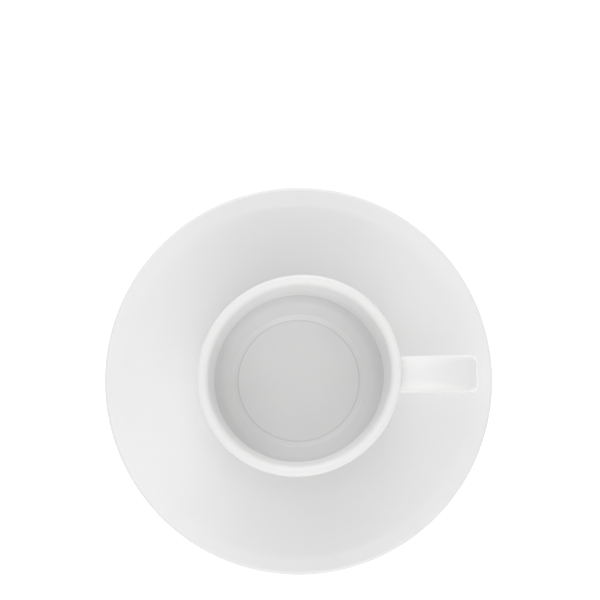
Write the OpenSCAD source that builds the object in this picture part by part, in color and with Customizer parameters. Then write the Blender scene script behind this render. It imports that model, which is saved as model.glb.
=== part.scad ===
// Espresso cup with a strap handle, standing in the well of its saucer.
// Millimetres, +Z up, saucer foot on z = 0, handle along +X.

/* [Saucer] */
// Overall diameter of the saucer
saucer_d = 120; // [112:1:140]
// Height of the rim above the table
saucer_h = 15; // [13:0.5:20]
// Thickness of the base and of the flank
saucer_t = 3.2; // [2.6:0.1:4]
// Thickness of the rim
saucer_rim_t = 2.5; // [2.2:0.1:3]
// Rounding of the two edges of the rim
saucer_rim_r = 1.05; // [0.6:0.05:1.05]
// Width of the flatter band along the rim
saucer_band_w = 5; // [3:0.5:9]
// Slope of the band, in degrees
saucer_band_slope = 9; // [4:0.5:12]
// Outside diameter of the foot ring
saucer_foot_d = 62; // [58:1:76]
// Width of the foot ring
saucer_foot_w = 3.4; // [2.8:0.1:5]
// Height of the foot ring under the base
saucer_foot_h = 1.8; // [1.4:0.1:2.4]
// Depth of the well
well_depth = 1.2; // [0.8:0.1:1.6]
// Play between the cup's foot and the wall of the well, on each side
well_play = 1; // [0.5:0.1:2]

/* [Cup] */
// Outside diameter of the rim
cup_d = 60; // [54:1:70]
// Height from the foot to the lip
cup_h = 55; // [50:1:70]
// Depth of the waist below the lip
cup_waist_drop = 18; // [12:0.5:24]
// Inset of the waist from the rim
cup_waist_in = 1.95; // [1.2:0.05:2.6]
// Inset of the wall at the base from the rim
cup_base_in = 0; // [0:0.1:1]
// Thickness of the wall at the lip
cup_lip_t = 3; // [2.6:0.1:3.6]
// Thickness of the wall below the lip
cup_wall_t = 2.9; // [2.4:0.1:3.6]
// Outside rounding from the wall to the base
cup_heel_r = 8; // [5:0.5:8]
// Inside rounding from the wall to the floor
cup_hollow_r = 4; // [2:0.5:6]
// Thickness of the base under the floor
cup_base_t = 4.2; // [3.4:0.1:6]
// Outside diameter of the foot ring
cup_foot_d = 40; // [34:1:44]
// Width of the foot ring
cup_foot_w = 2.8; // [2.4:0.1:4]
// Height of the foot ring under the base
cup_foot_h = 1.8; // [1.4:0.1:2.6]
// Diameter of the sunk disc in the floor
disc_d = 37.6; // [30:0.2:39]
// Run of the slope round the sunk disc
disc_run = 1.6; // [1:0.1:2.4]
// Depth of the sunk disc
disc_drop = 0.5; // [0.2:0.1:1]

/* [Handle] */
// Reach of the handle beyond the rim
handle_reach = 23; // [19:0.5:28]
// Width of the strap at the wall
handle_w = 11.2; // [9:0.1:14]
// Width of the strap from the bend on
handle_tip_w = 10.7; // [9:0.1:14]
// Thickness of the strap
handle_t = 4.6; // [4.2:0.1:5.6]
// Rounding of the strap's edges, across its width
handle_edge_w = 4; // [2:0.1:4.2]
// Rounding of the strap's edges, through its thickness
handle_edge_r = 2; // [1:0.1:2]
// Drop of the strap's highest point below the lip
handle_drop = 4; // [2:0.5:8]
// Place of the strap's highest point, as a share of its run from the wall to the bend
handle_peak = 0.48; // [0.3:0.02:0.6]
// Slope of the strap where the upper bend starts, in degrees
handle_droop = 22; // [10:1:30]
// Height of the loop
handle_h = 33; // [29:0.5:36]
// Squareness of the upper bend, where 2 is round
handle_square = 3.4; // [2:0.1:6]
// Inside rounding of the upper bend
handle_bend_r = 2.2; // [1.5:0.1:5]
// Outside rounding of the lower bend
handle_heel_r = 9; // [7:0.5:12]
// Lean of the outer run towards the cup
handle_lean = 8; // [0:0.5:12]
// Slope of the lower strap down to the wall
handle_slope = 10; // [0:0.5:20]
// Flare of the strap where it is luted to the wall
handle_flare = 1.2; // [0.4:0.1:2]

/* [Hidden] */
$fn = 96;

// Overlap that keeps an arc joined to the lines that it is tangent to
tangent_bite = 0.0005;
// Fewest flats that stand for a rounding, however little it turns
arc_steps = 12;
// Share of a side that the roundings at its two ends may take up
side_share = 0.98;
// Small roundings that glaze and sponging leave on the feet and steps
foot_edge_r = 0.6;
foot_root_r = 0.9;
step_r = 1.4;
step_run = 2.2;
disc_edge_r = 1.2;
disc_root_r = 0.25;
// Large roundings of the saucer's flank
flank_start_r = 30;
flank_end_r = 16;
// Run of flat floor beside the well before the flank starts
shoulder_w = 5;
// Angle by which the sides of a foot lean out
foot_lean = 8;
// Roundings of the lip's outer and inner edge, as shares of its thickness
lip_out_share = 0.36;
lip_in_share = 0.66;
// Share of the wall above the waist that the waist's bend takes up
waist_share = 0.36;
// Depths by which the handle and its flare are drawn into the wall before they are cut to it
handle_bury = 2.4;
flare_sink = 0.12;
// Steps along the handle's flares, straps and bends, and round one edge of its section
flare_steps = 5;
strap_steps = 6;
bend_steps = 10;
edge_steps = 6;

base_z = saucer_foot_h;
well_z = base_z + saucer_t;
shoulder_z = well_z + well_depth;
well_r = cup_foot_d / 2 + well_play;
shoulder_r = well_r + step_run;
saucer_r = saucer_d / 2;
band_r = saucer_r - saucer_band_w;
edge_z = saucer_h + saucer_rim_r * (1 / cos(saucer_band_slope) + tan(saucer_band_slope) - 1);
band_z = edge_z - saucer_band_w * tan(saucer_band_slope);

cup_r = cup_d / 2;
floor_z = cup_foot_h + cup_base_t;
lip_out_r = cup_lip_t * lip_out_share;
lip_in_r = cup_lip_t * lip_in_share;
waist_z = cup_h - cup_waist_drop;
waist_run = cup_waist_drop * waist_share;
wall_base = [cup_r - cup_base_in, cup_foot_h];
wall_waist = [cup_r - cup_waist_in, waist_z];
wall_rim = [cup_r, cup_h];
waist_r = bend_r(wall_base, wall_waist, wall_rim, waist_run);
waist_centre = arc_centre(wall_base, wall_waist, wall_rim, waist_r);
waist_low = wall_waist + unit(wall_base - wall_waist) * waist_run;
waist_high = wall_waist + unit(wall_rim - wall_waist) * waist_run;

strap_top = cup_h - handle_drop;
strap_end = cup_r + handle_reach;
pivot_r = handle_bend_r / cos(handle_lean - handle_droop);
pivot_out = (handle_bend_r + handle_t) / cos(handle_lean - handle_droop);
bend_in = [cos(handle_droop), -sin(handle_droop)];
run_down = [-sin(handle_lean), -cos(handle_lean)];
run_out = [cos(handle_lean), -sin(handle_lean)];
pivot_x = strap_end - pivot_out * bend_in[0];
bend_x = pivot_x - pivot_out * run_down[0];
strap_x = wall_r(strap_top);
peak_x = along(strap_x, bend_x, handle_peak);
strap_curve = tan(handle_droop) / (bend_x - peak_x) / 2;
pivot = [pivot_x, strap_z(bend_x) + pivot_out * run_down[1]];
run_top = pivot + pivot_out * bend_in;
heel_z = strap_top - handle_h + handle_heel_r;
run_length = (run_top[1] + handle_heel_r * sin(handle_lean) - heel_z) / cos(handle_lean);
heel = run_top - handle_heel_r * run_out + run_length * run_down;
return_in = [-cos(handle_slope), -sin(handle_slope)];

function unit(v) = v / norm(v);
function along(a, b, s) = a + (b - a) * s;
function at_angle(a) = [cos(a), sin(a)];
function turns_left(p, q, n) = (q - p)[0] * (n - q)[1] > (q - p)[1] * (n - q)[0];
function half_angle(p, q, n) = acos(unit(p - q) * unit(n - q)) / 2;
function setback(p, q, n, r) = r / tan(half_angle(p, q, n));
function bend_r(p, q, n, run) = run * tan(half_angle(p, q, n));
function arc_centre(p, q, n, r) =
    q + unit(unit(p - q) + unit(n - q)) * r / sin(half_angle(p, q, n));

// Outside radius of the cup's wall at a height over its foot
function line_r(a, b, z) = along(a, b, (z - a[1]) / (b[1] - a[1]))[0];
function wall_r(z) =
    z <= waist_low[1] ? line_r(wall_base, waist_low, z) :
    z >= waist_high[1] ? line_r(waist_high, wall_rim, z) :
    waist_centre[0] - sqrt(pow(waist_r, 2) - pow(z - waist_centre[1], 2));

// Closed outline, anticlockwise, of corners [x, y, rounding]
module rounded_outline(corners) {
    last = len(corners) - 1;
    q = [for (c = corners) [c[0], c[1]]];
    p = [for (i = [0:last]) q[i == 0 ? last : i - 1]];
    n = [for (i = [0:last]) q[i == last ? 0 : i + 1]];
    back = [for (i = [0:last]) setback(p[i], q[i], n[i], corners[i][2])];
    room = [for (i = [0:last]) side_share * norm(n[i] - q[i]) / (back[i] + back[i == last ? 0 : i + 1])];
    r = [for (i = [0:last]) corners[i][2] * min(1, room[i], room[i == 0 ? last : i - 1])];
    into = [for (i = [0:last]) q[i] + unit(p[i] - q[i]) * setback(p[i], q[i], n[i], r[i])];
    away = [for (i = [0:last]) q[i] + unit(n[i] - q[i]) * setback(p[i], q[i], n[i], r[i])];
    flats = [for (i = [0:last]) arc_steps * 180 / (90 - half_angle(p[i], q[i], n[i]))];
    module arc(i) {
        intersection() {
            translate(arc_centre(p[i], q[i], n[i], r[i]))
                circle(r[i] + tangent_bite, $fn = max($fn, flats[i]));
            polygon([into[i], q[i], away[i]]);
        }
    }
    difference() {
        union() {
            polygon([for (i = [0:last]) each r[i] > 0 ? [into[i], away[i]] : [q[i]]]);
            for (i = [0:last])
                if (r[i] > 0 && turns_left(p[i], q[i], n[i]))
                    arc(i);
        }
        for (i = [0:last])
            if (r[i] > 0 && !turns_left(p[i], q[i], n[i]))
                arc(i);
    }
}

module saucer_outline() {
    foot_r = saucer_foot_d / 2;
    foot_out = saucer_foot_h * tan(foot_lean);
    flank_run = unit([band_r - shoulder_r - shoulder_w, band_z - shoulder_z]);
    flank_down = [flank_run[1], -flank_run[0]] * saucer_t;
    flank_slope = flank_run[1] / flank_run[0];
    under_band = [band_r, band_z] + flank_down;
    under_r = shoulder_r + shoulder_w + flank_down[0];
    under_z = shoulder_z + flank_down[1];
    foot_top = under_z + (foot_r + foot_out - under_r) * flank_slope;
    rounded_outline([
        [0, base_z, 0],
        [foot_r - saucer_foot_w - foot_out, base_z, foot_root_r],
        [foot_r - saucer_foot_w, 0, foot_edge_r],
        [foot_r, 0, foot_edge_r],
        [foot_r + foot_out, foot_top, foot_root_r],
        [under_band[0], under_band[1], flank_end_r],
        [saucer_r, edge_z - saucer_rim_t / cos(saucer_band_slope), saucer_rim_r],
        [saucer_r, edge_z, saucer_rim_r],
        [band_r, band_z, flank_end_r],
        [shoulder_r + shoulder_w, shoulder_z, flank_start_r],
        [shoulder_r, shoulder_z, step_r],
        [well_r, well_z, step_r],
        [0, well_z, 0],
    ]);
}

module cup_outline() {
    foot_r = cup_foot_d / 2;
    foot_out = cup_foot_h * tan(foot_lean);
    mouth = [cup_r - cup_lip_t, cup_h];
    throat = [wall_waist[0] - cup_wall_t, waist_z];
    corner = [wall_base[0] - cup_wall_t, floor_z];
    rounded_outline([
        [0, cup_foot_h, 0],
        [foot_r - cup_foot_w - foot_out, cup_foot_h, foot_root_r],
        [foot_r - cup_foot_w, 0, foot_edge_r],
        [foot_r, 0, foot_edge_r],
        [foot_r + foot_out, cup_foot_h, foot_root_r],
        [wall_base[0], wall_base[1], cup_heel_r],
        [wall_waist[0], wall_waist[1], waist_r],
        [wall_rim[0], wall_rim[1], lip_out_r],
        [mouth[0], mouth[1], lip_in_r],
        [throat[0], throat[1], bend_r(mouth, throat, corner, waist_run)],
        [corner[0], corner[1], cup_hollow_r],
        [disc_d / 2 + disc_run, floor_z, disc_edge_r],
        [disc_d / 2, floor_z - disc_drop, disc_root_r],
        [0, floor_z - disc_drop, 0],
    ]);
}

// Everything inside the outer face of the cup's wall
module wall_fill() {
    rounded_outline([
        [0, cup_foot_h, 0],
        [wall_base[0], wall_base[1], 0],
        [wall_waist[0], wall_waist[1], waist_r],
        [wall_rim[0], wall_rim[1], 0],
        [0, cup_h, 0],
    ]);
}

// Ribs of the handle's side view: [outer point, inner point, width, flare, gap to the wall by it]
function flare_at(s) = handle_flare * (1 - sin(90 * s));
function flare_run(s) = handle_flare * (1 - cos(90 * s));
function strap_z(x) = strap_top - strap_curve * pow(x - peak_x, 2);
function strap_rib(x, s, flare, gap) =
    [
        [x, strap_z(x)],
        [x, strap_z(x)] + along([0, -handle_t], (pivot_out - pivot_r) * run_down, s * s),
        along(handle_w, handle_tip_w, s),
        flare,
        gap,
    ];
function bend_rib(a) =
    let (square = 2 / handle_square)
    [
        pivot + pivot_out * (pow(cos(a), square) * bend_in - pow(sin(a), square) * run_down),
        pivot + pivot_r * (cos(a) * bend_in - sin(a) * run_down),
        handle_tip_w,
        0,
    ];
function heel_rib(a) =
    [
        heel + handle_heel_r * at_angle(a),
        heel + (handle_heel_r - handle_t) * at_angle(a),
        handle_tip_w,
        0,
    ];
function return_rib(from, x, s, flare, gap) =
    [
        from[0] + return_in * (from[0][0] - x) / cos(handle_slope),
        from[1] + return_in * (from[1][0] - x) / cos(handle_slope),
        along(handle_w, handle_tip_w, s),
        flare,
        gap,
    ];

function handle_ribs() =
    let (strap_start = wall_r(strap_z(strap_x)))
    let (strap_flat = strap_start + handle_flare)
    let (heel_end = heel_rib(handle_slope - 90))
    let (return_stop = wall_r(heel_end[0][1]))
    let (return_flat = return_stop + handle_flare)
    [
        strap_rib(strap_start - handle_bury, 0, handle_flare, -handle_bury),
        for (i = [0:flare_steps])
            let (gap = flare_run(i / flare_steps) - flare_sink)
            strap_rib(strap_start + gap, 0, flare_at(i / flare_steps), gap),
        for (i = [1:strap_steps])
            strap_rib(along(strap_flat, bend_x, i / strap_steps), i / strap_steps, 0),
        for (i = [1:bend_steps])
            bend_rib(90 * (1 - i / bend_steps)),
        for (i = [0:bend_steps])
            heel_rib(along(-handle_lean, handle_slope - 90, i / bend_steps)),
        for (i = [1:strap_steps - 1])
            let (s = i / strap_steps)
            return_rib(heel_end, along(heel_end[1][0], return_flat, s), 1 - s, 0),
        for (i = [flare_steps:-1:0])
            let (gap = flare_run(i / flare_steps) - flare_sink)
            return_rib(heel_end, return_stop + gap, 0, flare_at(i / flare_steps), gap),
        return_rib(heel_end, return_stop - handle_bury, 0, handle_flare, -handle_bury),
    ];

// Points round one rib's section, a rectangle with rounded edges
function section_points(rib) =
    let (across = rib[0] - rib[1])
    let (middle = (rib[0] + rib[1]) / 2)
    let (half_w = rib[2] / 2 + rib[3] - handle_edge_w)
    let (half_t = norm(across) / 2 + rib[3] - handle_edge_r)
    [
        for (corner = [0:3])
            for (i = [0:edge_steps])
                let (a = 90 * (corner + i / edge_steps))
                let (side_w = corner == 0 || corner == 3 ? half_w : -half_w)
                let (side_t = corner < 2 ? half_t : -half_t)
                let (spot = middle + unit(across) * (side_t + handle_edge_r * sin(a)))
                let (y = side_w + handle_edge_w * cos(a))
                let (by_wall = is_undef(rib[4]) ? 0 : pow(wall_r(spot[1]) + rib[4], 2) - y * y)
                [is_undef(rib[4]) ? spot[0] : sqrt(by_wall), y, spot[1]]
    ];

module handle_sweep() {
    ribs = handle_ribs();
    per_rib = 4 * (edge_steps + 1);
    end = (len(ribs) - 1) * per_rib;
    polyhedron(
        points = [for (rib = ribs) each section_points(rib)],
        faces = [
            [for (k = [0:per_rib - 1]) k],
            for (i = [0:len(ribs) - 2])
                for (k = [0:per_rib - 1])
                    let (a = i * per_rib + k)
                    let (b = i * per_rib + (k + 1) % per_rib)
                    each [[a, a + per_rib, b], [b, a + per_rib, b + per_rib]],
            [for (k = [per_rib - 1:-1:0]) end + k],
        ]
    );
}

module saucer() {
    color("white")
        rotate_extrude()
            saucer_outline();
}

module cup_body() {
    color("white")
        translate([0, 0, well_z])
            rotate_extrude()
                cup_outline();
}

module cup_handle() {
    color("white")
        translate([0, 0, well_z])
            difference() {
                handle_sweep();
                rotate_extrude()
                    wall_fill();
            }
}

saucer();
cup_body();
cup_handle();
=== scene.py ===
import math

import bpy
import numpy as np
from mathutils import Matrix


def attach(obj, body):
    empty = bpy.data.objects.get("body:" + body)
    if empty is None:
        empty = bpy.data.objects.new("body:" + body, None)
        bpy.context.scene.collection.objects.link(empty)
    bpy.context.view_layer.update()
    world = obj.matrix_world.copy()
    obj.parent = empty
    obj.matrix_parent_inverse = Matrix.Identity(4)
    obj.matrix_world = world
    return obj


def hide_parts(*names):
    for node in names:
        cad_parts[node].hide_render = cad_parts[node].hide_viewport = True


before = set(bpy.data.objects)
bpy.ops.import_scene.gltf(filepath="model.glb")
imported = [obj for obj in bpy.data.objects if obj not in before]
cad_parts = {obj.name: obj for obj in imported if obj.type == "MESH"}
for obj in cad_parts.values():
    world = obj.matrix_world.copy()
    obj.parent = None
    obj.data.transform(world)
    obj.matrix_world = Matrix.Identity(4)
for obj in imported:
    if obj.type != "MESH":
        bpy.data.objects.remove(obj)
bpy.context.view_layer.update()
mm = 0.001

# turned outlines, in mm: hollow corners as tight as crease get the full painted shade and such edges the
# full painted highlight, a rounding takes at most roomShare of its sides, and points closer than merge
# become one
turning = {"crease": 1.7, "roomShare": 0.98, "merge": 1e-6, "tiny": 1e-9}


# outline of corners [r, z, rounding] from the axis and back to it: every rounded corner is an arc
# tangent to both its sides, in even steps of its angle, and straight sides get a point every sideGap;
# beside it goes its curl, down to -1 in a tight hollow corner and up to 1 on a tight edge, which sets
# its painted shade and painted highlight
def outlinePoints(corners, arcSteps, sideGap):
    spots = np.array([c[:2] for c in corners], float)
    radii = np.array([c[2] for c in corners], float)
    toPrev = np.roll(spots, 1, axis=0) - spots
    toNext = np.roll(spots, -1, axis=0) - spots
    sides = np.linalg.norm(toNext, axis=1)
    toPrev /= np.linalg.norm(toPrev, axis=1, keepdims=True)
    toNext /= sides[:, None]
    half = np.arccos(np.clip((toPrev * toNext).sum(1), -1, 1)) / 2
    back = radii / np.tan(half)
    room = turning["roomShare"] * sides / np.maximum(back + np.roll(back, -1), turning["tiny"])
    radii = radii * np.minimum(1, np.minimum(room, np.roll(room, 1)))      # no rounding outgrows its sides
    start = spots + toPrev * (radii / np.tan(half))[:, None]
    stop = spots + toNext * (radii / np.tan(half))[:, None]
    bisector = toPrev + toNext
    bisector /= np.maximum(np.linalg.norm(bisector, axis=1, keepdims=True), turning["tiny"])
    centre = spots + bisector * (radii / np.sin(half))[:, None]
    side = np.sign(toPrev[:, 1] * toNext[:, 0] - toPrev[:, 0] * toNext[:, 1])   # -1 where it is hollow
    arcs, bends = [spots[:1]], [np.zeros(1)]
    for i in range(1, len(corners) - 1):                 # the first and last corners lie on the axis
        a0 = math.atan2(*(start[i] - centre[i])[::-1])
        a1 = math.atan2(*(stop[i] - centre[i])[::-1])
        turn = (a1 - a0 + math.pi) % (2 * math.pi) - math.pi
        angles = a0 + turn * np.linspace(0, 1, arcSteps)
        arcs.append(centre[i] + radii[i] * np.stack([np.cos(angles), np.sin(angles)], 1))
        # the tighter the corner, the more painted shade in a hollow and painted highlight on an edge
        tight = min(1, (turning["crease"] / max(radii[i], turning["crease"])) ** 2)
        bends.append(np.sin(np.linspace(0, math.pi, arcSteps)) * side[i] * tight * (radii[i] > 0))
    arcs.append(spots[-1:])
    bends.append(np.zeros(1))
    line, curl = [arcs[0]], [bends[0]]
    for before, after, bend in zip(arcs[:-1], arcs[1:], bends[1:]):
        gap = np.linalg.norm(after[0] - before[-1])
        shares = np.linspace(0, 1, max(int(np.ceil(gap / sideGap)), 1) + 1)[1:-1, None]
        line += [before[-1] + (after[0] - before[-1]) * shares, after]
        curl += [np.zeros(len(shares)), bend]
    points, curl = np.concatenate(line), np.concatenate(curl)
    keep = np.r_[True, np.linalg.norm(np.diff(points, axis=0), axis=1) > turning["merge"]]
    return points[keep], curl[keep]


# turned surface: every outline point swept round the axis, x = r cos a, y = r sin a,
# with r and z passed through warp(r, a, z) for what firing does to the clay
def turnedSurface(name, points, curl, wear, rounds, lift, warp):
    ring = np.linspace(0, 2 * math.pi, rounds, endpoint=False)
    r, a = np.meshgrid(points[1:-1, 0], ring, indexing="ij")
    z = np.broadcast_to(points[1:-1, 1:2], r.shape)
    r, z = warp(r, a, z)
    grid = np.stack([r * np.cos(a), r * np.sin(a), z + lift], -1).reshape(-1, 3)
    poles = np.array([[0, 0, points[0, 1] + lift], [0, 0, points[-1, 1] + lift]])
    rows = len(points) - 2
    i, j = np.meshgrid(np.arange(rows - 1), np.arange(rounds), indexing="ij")
    here, above, k = i * rounds, (i + 1) * rounds, (j + 1) % rounds
    quads = np.stack([here + j, here + k, above + k, above + j], -1).reshape(-1, 4)
    j, k = np.arange(rounds), (np.arange(rounds) + 1) % rounds
    low, high, last = rows * rounds, rows * rounds + 1, (rows - 1) * rounds
    under = np.stack([np.full(rounds, low), k, j], 1)
    over = np.stack([np.full(rounds, high), last + j, last + k], 1)
    # per point: painted shade in hollows and over the cup's floor, painted highlight on tight edges, and the
    # glaze's wear
    paintedLight, rubbed = (np.r_[np.repeat(values[1:-1], rounds), values[[0, -1]]] for values in (curl, wear))
    faces = quads.tolist() + under.tolist() + over.tolist()
    return meshPiece(name, np.concatenate([grid, poles]) * mm, faces, paintedLight, rubbed)


# one mesh object at the origin, smooth, with its painted shade and highlight and the glaze's wear kept for
# each point
def meshPiece(name, points, faces, paintedLight, wear):
    mesh = bpy.data.meshes.new(name)
    mesh.from_pydata(points.tolist(), [], faces)
    mesh.polygons.foreach_set("use_smooth", np.ones(len(mesh.polygons), bool))
    for key, values in (("paintedLightMap", paintedLight), ("glazeWear", wear)):
        mesh.attributes.new(key, "FLOAT", "POINT").data.foreach_set("value", values.astype(np.float32))
    mesh.update()
    piece = bpy.data.objects.new(name, mesh)
    bpy.context.scene.collection.objects.link(piece)
    print("made", name, len(mesh.polygons), "faces")
    return piece


# saucer, in mm and degrees
saucer = {
    "radius": 60, "height": 15, "thick": 3.2, "rimThick": 2.5, "rimRound": 1.05,
    "bandWidth": 5, "bandSlope": 9, "flankIn": 30, "flankOut": 16, "shoulder": 5,
    "wellDepth": 1.2, "wellRadius": 21, "stepRun": 2.2, "stepRound": 1.4,
    "footRadius": 31, "footWidth": 3.4, "footHeight": 1.8, "footEdge": 0.6, "footRoot": 0.9, "footLean": 8,
    "arcSteps": 15, "sideGap": 1.5, "rounds": 240,
}


# corners of the saucer's section: foot, underside, rim, band, flank and well, the underside lying
# one thickness below the flank at right angles to it
def saucerCorners(s):
    baseZ = s["footHeight"]
    wellZ = baseZ + s["thick"]
    shoulderZ = wellZ + s["wellDepth"]
    shoulderR = s["wellRadius"] + s["stepRun"]
    slope = math.radians(s["bandSlope"])
    edgeZ = s["height"] + s["rimRound"] * (1 / math.cos(slope) + math.tan(slope) - 1)
    bandR = s["radius"] - s["bandWidth"]
    bandZ = edgeZ - s["bandWidth"] * math.tan(slope)
    run = np.array([bandR - shoulderR - s["shoulder"], bandZ - shoulderZ])
    run /= np.linalg.norm(run)
    down = np.array([run[1], -run[0]]) * s["thick"]
    out = s["footHeight"] * math.tan(math.radians(s["footLean"]))
    underR, underZ = shoulderR + s["shoulder"] + down[0], shoulderZ + down[1]
    footTop = underZ + (s["footRadius"] + out - underR) * run[1] / run[0]
    return [
        [0, baseZ, 0],
        [s["footRadius"] - s["footWidth"] - out, baseZ, s["footRoot"]],
        [s["footRadius"] - s["footWidth"], 0, s["footEdge"]],
        [s["footRadius"], 0, s["footEdge"]],
        [s["footRadius"] + out, footTop, s["footRoot"]],
        [bandR + down[0], bandZ + down[1], s["flankOut"]],
        [s["radius"], edgeZ - s["rimThick"] / math.cos(slope), s["rimRound"]],
        [s["radius"], edgeZ, s["rimRound"]],
        [bandR, bandZ, s["flankOut"]],
        [shoulderR + s["shoulder"], shoulderZ, s["flankIn"]],
        [shoulderR, shoulderZ, s["stepRound"]],
        [s["wellRadius"], wellZ, s["stepRound"]],
        [0, wellZ, 0],
    ]


# the saucer came out of the kiln round
def trueRound(r, a, z):
    return r, z


saucerLine, saucerCurl = outlinePoints(saucerCorners(saucer), saucer["arcSteps"], saucer["sideGap"])
saucerWear = np.zeros(len(saucerLine))
saucerRounds = saucer["rounds"]
saucerPiece = turnedSurface("saucerGlazed", saucerLine, saucerCurl, saucerWear, saucerRounds, 0, trueRound)
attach(saucerPiece, "saucer")
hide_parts("saucer")

# cup, in mm and degrees; it stands in the saucer's well
wellZ = saucer["footHeight"] + saucer["thick"]
cup = {
    "radius": 30, "height": 55, "lip": 3, "wall": 2.9, "lipOut": 1.08, "lipIn": 1.98,
    "waistDrop": 18, "waistIn": 1.95, "waistShare": 0.36, "waistArc": 0.99,
    "throat": 25.4, "flarePower": 3, "flareTop": 0.82, "bellyPower": 2, "bellyEnd": 0.8, "flareSteps": 16,
    "heelRound": 8, "hollowRound": 4, "base": 4.2,
    "disc": 18.8, "discRun": 1.6, "discDrop": 0.5, "discEdge": 1.2, "discRoot": 1.7,
    "footRadius": 20, "footWidth": 2.8, "footHeight": 1.8, "footEdge": 0.6, "footRoot": 0.9, "footLean": 8,
    "oval": 0.018, "ovalTurn": 33, "wearIn": 10, "floorWear": 0.35, "floorShade": -0.1,
    "arcSteps": 13, "sideGap": 1.6, "rounds": 360,
}
wallBase = np.array([cup["radius"], cup["footHeight"]], float)
wallWaist = np.array([cup["radius"] - cup["waistIn"], cup["height"] - cup["waistDrop"]])
wallRim = np.array([cup["radius"], cup["height"]], float)
waistRun = cup["waistDrop"] * cup["waistShare"]


# radius and centre of the arc at q that leaves both its sides at a distance of run from q
def bendRound(p, q, n, run):
    toP, toN = (p - q) / np.linalg.norm(p - q), (n - q) / np.linalg.norm(n - q)
    half = math.acos(toP @ toN) / 2
    return run * math.tan(half), q + (toP + toN) / np.linalg.norm(toP + toN) * run / math.cos(half)


waistRound, waistCentre = bendRound(wallBase, wallWaist, wallRim, waistRun)


# outer face of the wall at height z: a line up to the waist, an arc through it and a line to the lip
def wallRadius(z):
    below = wallBase[0] + (z - wallBase[1]) * (wallWaist[0] - wallBase[0]) / (wallWaist[1] - wallBase[1])
    above = wallRim[0] + (z - wallRim[1]) * (wallWaist[0] - wallRim[0]) / (wallWaist[1] - wallRim[1])
    arc = waistCentre[0] - np.sqrt(np.maximum(waistRound**2 - (z - waistCentre[1]) ** 2, 0))
    onArc = np.abs(z - wallWaist[1]) < waistRun * cup["waistArc"]
    return np.where(onArc, arc, np.where(z < wallWaist[1], below, above))


# corners of the cup's section: foot, heel, waist and lip outside; inside, a trumpet curve from the lip
# to the throat, r growing with a power of the height, a belly below it and the floor with its sunk disc
def cupCorners(c):
    floorZ = c["footHeight"] + c["base"]
    out = c["footHeight"] * math.tan(math.radians(c["footLean"]))
    throat, mouth, corner = c["throat"], c["radius"] - c["lip"], c["radius"] - c["wall"]
    throatZ = wallWaist[1]
    share = np.linspace(c["flareTop"], 0, c["flareSteps"])          # the lip's rounding takes the rest
    flareR = throat + (mouth - throat) * share ** c["flarePower"]
    flare = np.stack([flareR, throatZ + c["waistDrop"] * share], 1)
    share = np.linspace(0, c["bellyEnd"], c["flareSteps"])[1:]          # and the hollow's the rest below
    bellyR = throat + (corner - throat) * share ** c["bellyPower"]
    belly = np.stack([bellyR, throatZ - (throatZ - floorZ) * share], 1)
    inside = [[*spot, 0] for spot in np.concatenate([flare, belly])]
    return [
        [0, c["footHeight"], 0],
        [c["footRadius"] - c["footWidth"] - out, c["footHeight"], c["footRoot"]],
        [c["footRadius"] - c["footWidth"], 0, c["footEdge"]],
        [c["footRadius"], 0, c["footEdge"]],
        [c["footRadius"] + out, c["footHeight"], c["footRoot"]],
        [*wallBase, c["heelRound"]],
        [*wallWaist, waistRound],
        [*wallRim, c["lipOut"]],
        [mouth, c["height"], c["lipIn"]],
        *inside,
        [corner, floorZ, c["hollowRound"]],
        [c["disc"] + c["discRun"], floorZ, c["discEdge"]],
        [c["disc"], floorZ - c["discDrop"], c["discRoot"]],
        [0, floorZ - c["discDrop"], 0],
    ]


# drawn oval in the kiln: r swells by a share with the cosine of twice the turn, none at the foot and
# most at the lip
def kilnOval(r, a, z):
    grow = np.sin(math.pi / 2 * np.clip(z / cup["height"], 0, 1))
    return r * (1 + cup["oval"] * grow * np.cos(2 * (a - math.radians(cup["ovalTurn"])))), z


cupLine, cupCurl = outlinePoints(cupCorners(cup), cup["arcSteps"], cup["sideGap"])
pastLip = np.arange(len(cupLine)) - np.argmax(cupLine[:, 1])
cupWear = np.clip(pastLip / cup["wearIn"], 0, 1)          # rubbed silky inside, from the lip down
upWall = np.clip((cupLine[:, 1] - cup["footHeight"] - cup["base"]) / cup["hollowRound"], 0, 1)
onFloor = np.where(pastLip > 0, 1 - upWall, 0)
cupWear = cupWear * (1 + (cup["floorWear"] - 1) * onFloor)          # less on the floor
cupCurl = cupCurl + cup["floorShade"] * onFloor          # painted shade over the cup's floor
cupPiece = turnedSurface("cupGlazed", cupLine, cupCurl, cupWear, cup["rounds"], wellZ, kilnOval)
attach(cupPiece, "cup")
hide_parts("cup_body")

# handle, in mm and degrees; bury is how deep its ends go into the wall, and the steps are ribs along
# each stretch and points round each edge
strap = {
    "reach": 22.7, "height": 33, "drop": 4, "thick": 4.6, "width": 10.9, "tipWidth": 11.0, "lowWidth": 9.0,
    "edge": 2.0, "edgeWide": 4, "tipEdge": 1.9, "crispPower": 3,
    "peak": 0.48, "droop": 22, "square": 3.4, "bend": 2.2, "lean": 8, "heel": 9, "slope": 10,
    "flare": 1.2, "sink": 0.12, "bury": 0.6,
    "rootSteps": 14, "topSteps": 40, "bendSteps": 33, "runSteps": 12, "heelSteps": 30, "backSteps": 16,
    "edgeSteps": 13,
}


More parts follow.
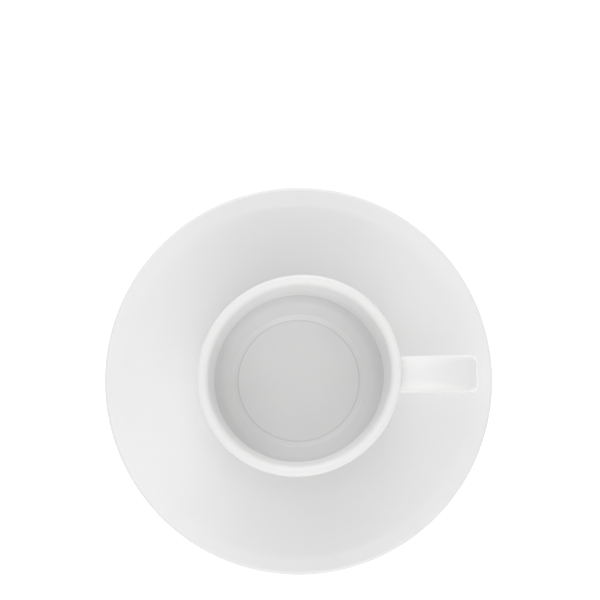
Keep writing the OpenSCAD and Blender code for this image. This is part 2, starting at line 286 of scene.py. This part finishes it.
# strap loop: ribs from an inner to an outer rail; the top rail is a parabola over its peak, the upper
# bend a superellipse about a pivot, the lower bend an arc, and both roots flare along a quarter circle
def strapRibs(s):
    top = cup["height"] - s["drop"]
    lean, slope, droop = (math.radians(s[key]) for key in ("lean", "slope", "droop"))
    inR, outR = s["bend"] / math.cos(lean - droop), (s["bend"] + s["thick"]) / math.cos(lean - droop)
    bendIn = np.array([math.cos(droop), -math.sin(droop)])
    down = np.array([-math.sin(lean), -math.cos(lean)])
    outward = np.array([math.cos(lean), -math.sin(lean)])
    pivotX = cup["radius"] + s["reach"] - outR * bendIn[0]
    bendX = pivotX - outR * down[0]
    wallX = float(wallRadius(top))
    peakX = wallX + (bendX - wallX) * s["peak"]
    curve = math.tan(droop) / (bendX - peakX) / 2

    def strapZ(x):
        return top - curve * (x - peakX) ** 2

    pivot = np.array([pivotX, strapZ(bendX) + outR * down[1]])
    runTop = pivot + outR * bendIn
    heelZ = top - s["height"] + s["heel"]
    run = (runTop[1] + s["heel"] * math.sin(lean) - heelZ) / math.cos(lean)
    heel = runTop - s["heel"] * outward + run * down
    backIn = np.array([-math.cos(slope), -math.sin(slope)])

    flareTurn = np.linspace(0, math.pi / 2, s["rootSteps"])
    flareGap = s["flare"] * (1 - np.cos(flareTurn)) - s["sink"]
    flareOut = s["flare"] * (1 - np.sin(flareTurn))

    # upper half, from the wall to the bend
    rootX = float(wallRadius(strapZ(wallX)))
    along = np.linspace(0, 1, s["topSteps"])[1:]
    share = np.r_[np.zeros(s["rootSteps"] + 1), along]
    gap = np.r_[-s["bury"], flareGap, np.full(len(along), np.nan)]          # no gap where clear of the wall
    flare = np.r_[s["flare"], flareOut, np.zeros(len(along))]
    x = np.r_[rootX - s["bury"], rootX + flareGap, rootX + s["flare"] + (bendX - rootX - s["flare"]) * along]
    outer = np.stack([x, strapZ(x)], 1)
    plumb = np.array([0, -s["thick"]])
    inner = outer + plumb + share[:, None] ** 2 * ((outR - inR) * down - plumb)
    width = s["width"] + (s["tipWidth"] - s["width"]) * share

    # upper bend, the run down and the heel
    a = np.linspace(math.pi / 2, 0, s["bendSteps"])[1:, None]
    power = 2 / s["square"]
    bendOut = pivot + outR * (np.clip(np.cos(a), 0, 1) ** power * bendIn - np.sin(a) ** power * down)
    bendInner = pivot + inR * (np.cos(a) * bendIn - np.sin(a) * down)
    runShare = np.linspace(0, 1, s["runSteps"])[1:-1, None]
    heelTurn = np.linspace(-lean, slope - math.pi / 2, s["heelSteps"])
    ray = np.stack([np.cos(heelTurn), np.sin(heelTurn)], 1)
    heelOut, heelIn = heel + s["heel"] * ray, heel + (s["heel"] - s["thick"]) * ray
    runOut = bendOut[-1] + (heelOut[0] - bendOut[-1]) * runShare
    runIn = bendInner[-1] + (heelIn[0] - bendInner[-1]) * runShare

    # back to the wall
    backX = float(wallRadius(heelOut[-1, 1]))
    backShare = np.linspace(0, 1, s["backSteps"])[1:-1]
    backFrom = heelIn[-1, 0]
    backLine = backFrom + (backX + s["flare"] - backFrom) * backShare
    x = np.r_[backLine, (backX + flareGap)[::-1], backX - s["bury"]]
    backOut = heelOut[-1] + backIn * ((heelOut[-1, 0] - x) / math.cos(slope))[:, None]
    backInner = heelIn[-1] + backIn * ((heelIn[-1, 0] - x) / math.cos(slope))[:, None]

    plain = len(bendOut) + len(runOut) + len(heelOut) + len(backShare)
    low = len(heelOut) + len(backOut)
    ease = (runShare**2 * (3 - 2 * runShare)).ravel()          # narrows on its way down
    narrowing = s["tipWidth"] + (s["lowWidth"] - s["tipWidth"]) * ease
    outer = np.concatenate([outer, bendOut, runOut, heelOut, backOut])
    inner = np.concatenate([inner, bendInner, runIn, heelIn, backInner])
    width = np.r_[width, np.full(len(bendOut), s["tipWidth"]), narrowing, np.full(low, s["lowWidth"])]
    crisp = np.r_[share ** s["crispPower"], np.ones(len(bendOut)), 1 - runShare.ravel(), np.zeros(low)]
    flare = np.r_[flare, np.zeros(plain), flareOut[::-1], s["flare"]]
    gap = np.r_[gap, np.full(plain, np.nan), flareGap[::-1], -s["bury"]]
    return outer, inner, width, crisp, flare, gap


# skin over the ribs: y across the strap and t through it run round a rectangle with elliptic edges,
# crisper at the upper bend and wider by the flare at both ends, where x = sqrt((wall + gap)^2 - y^2)
def strapSurface(name, s):
    outer, inner, width, crisp, flare, gap = strapRibs(s)
    across = outer - inner
    size = np.linalg.norm(across, axis=1)
    across /= size[:, None]
    middle = (outer + inner) / 2
    quarters = np.arange(4)[:, None] * 90 + np.linspace(0, 90, s["edgeSteps"])[None, :]
    turn = quarters.ravel() * math.pi / 180
    signW = np.repeat([1, -1, -1, 1], s["edgeSteps"])
    signT = np.repeat([1, 1, -1, -1], s["edgeSteps"])
    edgeWide = s["edgeWide"] + (s["tipEdge"] - s["edgeWide"]) * crisp[:, None]
    y = signW * ((width / 2 + flare)[:, None] - edgeWide) + edgeWide * np.cos(turn)
    t = signT * (size / 2 + flare - s["edge"])[:, None] + s["edge"] * np.sin(turn)
    x = middle[:, :1] + across[:, :1] * t
    z = middle[:, 1:] + across[:, 1:] * t
    byWall = np.sqrt((wallRadius(z) + np.nan_to_num(gap)[:, None]) ** 2 - y**2)
    x = np.where(np.isnan(gap)[:, None], x, byWall)          # the flared ends follow the round wall
    ribs, around = x.shape
    points = np.stack([x, y, z + wellZ], -1).reshape(-1, 3)
    i, k = np.meshgrid(np.arange(ribs - 1), np.arange(around), indexing="ij")
    here, beyond, n = i * around, (i + 1) * around, (k + 1) % around
    quads = np.stack([here + k, here + n, beyond + n, beyond + k], -1).reshape(-1, 4)
    caps = [list(range(around))[::-1], list(range((ribs - 1) * around, ribs * around))]
    paintedLight = np.abs(np.sin(2 * turn)) - flare[:, None] / s["flare"]          # painted highlight on the edges, painted shade at the roots where the strap meets the wall
    return meshPiece(name, points * mm, quads.tolist() + caps, paintedLight.ravel(), np.zeros(len(points)))


strapPiece = strapSurface("handleGlazed", strap)
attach(strapPiece, "cup")
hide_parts("cup_handle")


# glazed porcelain: clouds of thicker and thinner glaze, painted shade in the hollows and painted highlight
# on the edges, silkier where use has rubbed it, a faint orange peel, and a bare sponged foot below footZ;
# lengths in m
glaze = {
    # the lightest colour also serves as painted highlight and the darkest as painted shade
    "thinGlazeAndHighlight": (0.95, 0.948, 0.943, 1), "body": (0.93, 0.93, 0.928, 1), "thickGlazeAndShade": (0.78, 0.785, 0.787, 1),
    "bare": (0.87, 0.855, 0.83, 1), "ior": 1.5,
    "roughLow": 0.06, "roughHigh": 0.12, "wornRough": 0.32, "bareRough": 0.7,
    # the gain after even turns hollows towards the painted shade and edges towards the painted highlight
    "even": 0.5, "paintedLight": -0.7, "cloud": 0.1, "cloudNoise": {"Scale": 45, "Detail": 3},
    "bareHeight": 0.0006, "bareEdge": 0.0001, "waver": 0.00025, "waverNoise": {"Scale": 900, "Detail": 1},
    "peelNoise": {"Scale": 260, "Detail": 2}, "peelBump": {"Strength": 0.1, "Distance": 0.00002},
}


def glazeMaterial(name, g, footZ):
    mat = bpy.data.materials.new(name)
    mat.use_nodes = True
    tree = mat.node_tree
    link = tree.links.new
    shader = tree.nodes["Principled BSDF"]
    shader.inputs["IOR"].default_value = g["ior"]

    def node(kind, **sockets):
        made = tree.nodes.new("ShaderNode" + kind)
        for key, value in sockets.items():
            made.inputs[key].default_value = value
        return made

    def maths(operation, a, b):
        made = tree.nodes.new("ShaderNodeMath")
        made.operation = operation
        for socket, value in zip(made.inputs, (a, b)):
            if isinstance(value, (int, float)):
                socket.default_value = value
            else:
                link(value, socket)
        return made.outputs[0]

    # clouds of thicker and thinner glaze with painted light on top, from 0 for thin glaze and painted
    # highlight to 1 for thick glaze and painted shade, and its colour and gloss
    place = node("TexCoord").outputs["Object"]
    cloud = node("TexNoise", **g["cloudNoise"])
    link(place, cloud.inputs["Vector"])
    paintedLightNode = node("Attribute")
    paintedLightNode.attribute_name = "paintedLightMap"
    cloudy = node("MapRange", **{"To Min": g["even"] - g["cloud"], "To Max": g["even"] + g["cloud"]})
    link(cloud.outputs["Fac"], cloudy.inputs["Value"])
    # painted shade and highlight added onto the glaze clouds
    glazeAndPaintedLight = maths("ADD", cloudy.outputs["Result"], maths("MULTIPLY", paintedLightNode.outputs["Fac"], g["paintedLight"]))
    tint = node("ValToRGB")
    ramp = tint.color_ramp.elements
    ramp.new(g["even"])
    for stop, at, colour in zip(ramp, (0, g["even"], 1), (g["thinGlazeAndHighlight"], g["body"], g["thickGlazeAndShade"])):
        stop.position, stop.color = at, colour
    link(glazeAndPaintedLight, tint.inputs["Fac"])
    gloss = node("MapRange", **{"To Min": g["roughHigh"], "To Max": g["roughLow"]})
    link(glazeAndPaintedLight, gloss.inputs["Value"])

    # bare foot below a wavy line
    height = node("SeparateXYZ")
    link(place, height.inputs["Vector"])
    edge = node("TexNoise", **g["waverNoise"])
    link(place, edge.inputs["Vector"])
    wavy = maths("ADD", height.outputs["Z"], maths("MULTIPLY", edge.outputs["Fac"], g["waver"]))
    glazed = node("MapRange", **{"From Min": footZ, "From Max": footZ + g["bareEdge"]})
    link(wavy, glazed.inputs["Value"])
    colour = node("Mix")
    colour.data_type = "RGBA"
    colour.inputs[6].default_value = g["bare"]          # 6 and 7 are its colours, and 2 comes out
    link(glazed.outputs["Result"], colour.inputs["Factor"])
    link(tint.outputs["Color"], colour.inputs[7])
    link(colour.outputs[2], shader.inputs["Base Color"])

    # gloss, rubbed silky with wear and dull on the bare foot
    wear = node("Attribute")
    wear.attribute_name = "glazeWear"
    rubbed = node("Mix", B=g["wornRough"])
    link(wear.outputs["Fac"], rubbed.inputs["Factor"])
    link(gloss.outputs["Result"], rubbed.inputs["A"])
    rough = node("Mix", A=g["bareRough"])
    link(glazed.outputs["Result"], rough.inputs["Factor"])
    link(rubbed.outputs["Result"], rough.inputs["B"])
    link(rough.outputs["Result"], shader.inputs["Roughness"])

    peel = node("TexNoise", **g["peelNoise"])
    link(place, peel.inputs["Vector"])
    bump = node("Bump", **g["peelBump"])
    link(peel.outputs["Fac"], bump.inputs["Height"])
    link(bump.outputs["Normal"], shader.inputs["Normal"])
    return mat


noFoot = -1          # glazed all over
saucerPiece.data.materials.append(glazeMaterial("saucerPorcelain", glaze, glaze["bareHeight"]))
cupPiece.data.materials.append(glazeMaterial("cupPorcelain", glaze, wellZ * mm + glaze["bareHeight"]))
strapPiece.data.materials.append(glazeMaterial("handlePorcelain", glaze, noFoot))
print("glaze on")

# floor, a pale sheet in metres, lifted to white for the camera and for mirrors alone
floor = {"size": 10.0, "colour": (0.9, 0.9, 0.9, 1), "rough": 0.9, "glow": (1, 1, 1, 1), "lift": 0.5}
floorMesh = bpy.data.meshes.new("floor")
half = floor["size"] / 2
floorCorners = [(-half, -half, 0), (half, -half, 0), (half, half, 0), (-half, half, 0)]
floorMesh.from_pydata(floorCorners, [], [(0, 1, 2, 3)])
floorPiece = bpy.data.objects.new("floor", floorMesh)
bpy.context.scene.collection.objects.link(floorPiece)
floorMat = bpy.data.materials.new("paleFloor")
floorMat.use_nodes = True
floorTree = floorMat.node_tree
floorShader = floorTree.nodes["Principled BSDF"]
floorShader.inputs["Base Color"].default_value = floor["colour"]
floorShader.inputs["Roughness"].default_value = floor["rough"]
floorShader.inputs["Emission Color"].default_value = floor["glow"]
path = floorTree.nodes.new("ShaderNodeLightPath")
seen = None
for ray in ("Is Camera Ray", "Is Glossy Ray", "Is Transmission Ray"):
    gain = floorTree.nodes.new("ShaderNodeMath")
    gain.operation = "MULTIPLY_ADD"
    gain.inputs[1].default_value = floor["lift"]
    gain.inputs[2].default_value = 0
    floorTree.links.new(path.outputs[ray], gain.inputs[0])
    if seen:
        floorTree.links.new(seen, gain.inputs[2])
    seen = gain.outputs[0]
floorTree.links.new(seen, floorShader.inputs["Emission Strength"])
floorMesh.materials.append(floorMat)
print("floor laid")

# soft light tent: an even glow and nine broad walls of light (turn, rise in degrees, focus, strength),
# each falling off as a power of the cosine from its middle; white porcelain hands light on many times
tent = {
    "colour": (1, 1, 1, 1), "glow": 0.26, "bounces": 16, "diffuseBounces": 12,
    "walls": [
        (270, 45, 6, 0.66), (270, 65, 14, 1.02), (90, 65, 14, 0.91),
        (270, 20, 10, 0.74), (90, 20, 10, 1.75), (0, 20, 8, 0.3), (180, 20, 8, 0.2),
        (315, 50, 10, 0.38), (135, 50, 10, 0.59),
    ],
}
world = bpy.data.worlds.new("studioWorld")
bpy.context.scene.world = world
world.use_nodes = True
sky = world.node_tree
facing = sky.nodes.new("ShaderNodeTexCoord")
total = None
for turn, rise, focus, strength in tent["walls"]:
    turn, rise = math.radians(turn), math.radians(rise)
    level = math.cos(rise)
    aim = sky.nodes.new("ShaderNodeVectorMath")
    aim.operation = "DOT_PRODUCT"
    aim.inputs[1].default_value = (level * math.cos(turn), level * math.sin(turn), math.sin(rise))
    front, fall, gain = (sky.nodes.new("ShaderNodeMath") for _ in range(3))
    front.operation, fall.operation, gain.operation = "MAXIMUM", "POWER", "MULTIPLY_ADD"
    front.inputs[1].default_value = 0
    fall.inputs[1].default_value = focus
    gain.inputs[1].default_value = strength
    gain.inputs[2].default_value = tent["glow"]
    sky.links.new(facing.outputs["Generated"], aim.inputs[0])
    sky.links.new(aim.outputs["Value"], front.inputs[0])
    sky.links.new(front.outputs[0], fall.inputs[0])
    sky.links.new(fall.outputs[0], gain.inputs[0])
    if total:
        sky.links.new(total, gain.inputs[2])
    total = gain.outputs[0]
sky.nodes["Background"].inputs["Color"].default_value = tent["colour"]
sky.links.new(total, sky.nodes["Background"].inputs["Strength"])
bpy.context.scene.cycles.max_bounces = tent["bounces"]
bpy.context.scene.cycles.diffuse_bounces = tent["diffuseBounces"]
print("light on")

# camera almost straight above, a little towards the front left: place in mm, turns in radians,
# and its focal length in pixels of a picture that is across pixels wide
shot = {
    "place": (-5.2, -28.1, 900.0), "tilt": -0.0598, "pan": 0.0068, "roll": 0.0164,
    "focal": 2862.0, "across": 600, "sensor": 36, "near": 0.01,
}
eye = bpy.data.cameras.new("shot")
eye.type = "PERSP"
eye.sensor_fit = "HORIZONTAL"
eye.sensor_width = shot["sensor"]
eye.lens = shot["focal"] / shot["across"] * shot["sensor"]
eye.clip_start = shot["near"]
camera = bpy.data.objects.new("shot", eye)
bpy.context.scene.collection.objects.link(camera)
turns = (("roll", "Z"), ("pan", "Y"), ("tilt", "X"))
roll, pan, tilt = (Matrix.Rotation(shot[key], 3, axis) for key, axis in turns)
turned = roll @ pan @ tilt
camera.matrix_world = Matrix.Translation([v * mm for v in shot["place"]]) @ turned.transposed().to_4x4()
bpy.context.scene.camera = camera
bpy.context.scene.view_settings.view_transform = "Standard"
print("camera set")
